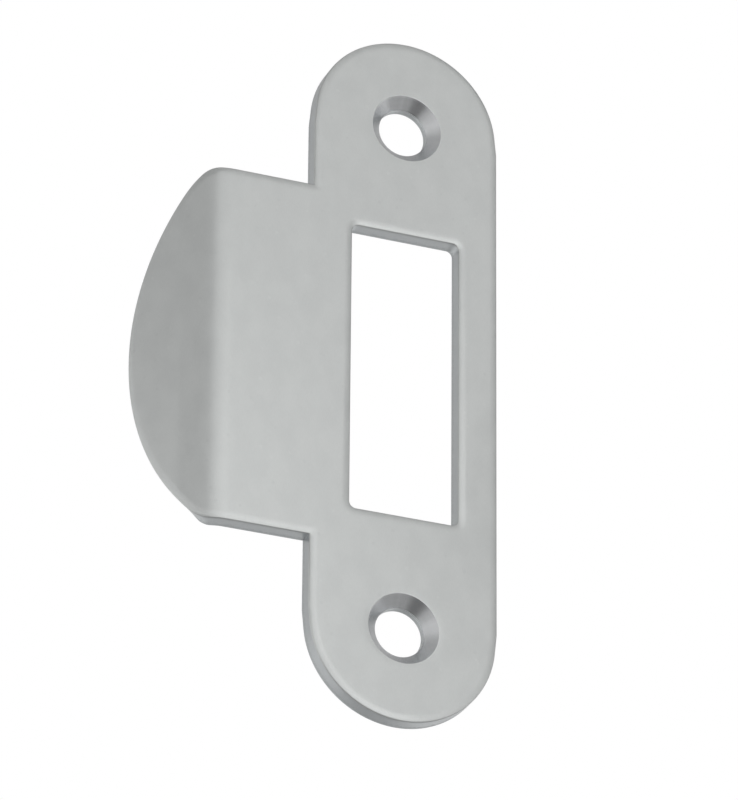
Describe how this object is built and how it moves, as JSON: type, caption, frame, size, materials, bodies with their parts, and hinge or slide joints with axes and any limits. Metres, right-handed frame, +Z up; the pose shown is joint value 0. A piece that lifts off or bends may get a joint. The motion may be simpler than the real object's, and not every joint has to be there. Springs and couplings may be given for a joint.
{
  "type": "door strike plate",
  "caption": "Round-ended strike plate for a door latch: upright plate with a rectangular latch opening, countersunk screw holes and a wide lip that bends gently back into a curved flap.",
  "frame": {"origin": "on the back face of the plate, half way between the two screw holes, which is also the middle of the latch opening", "axes": "+Z up along the plate as it is screwed to the jamb, +Y into the jamb so the front face looks towards -Y, +X away from the lip, which runs towards -X"},
  "size_m": [0.0366, 0.009, 0.0756],
  "materials": {
    "satin_steel": "satin, fine short grain, edges of the front face softly rounded"
  },
  "bodies": {
    "root": {"strike_plate": "satin_steel"}
  },
  "joints": []
}
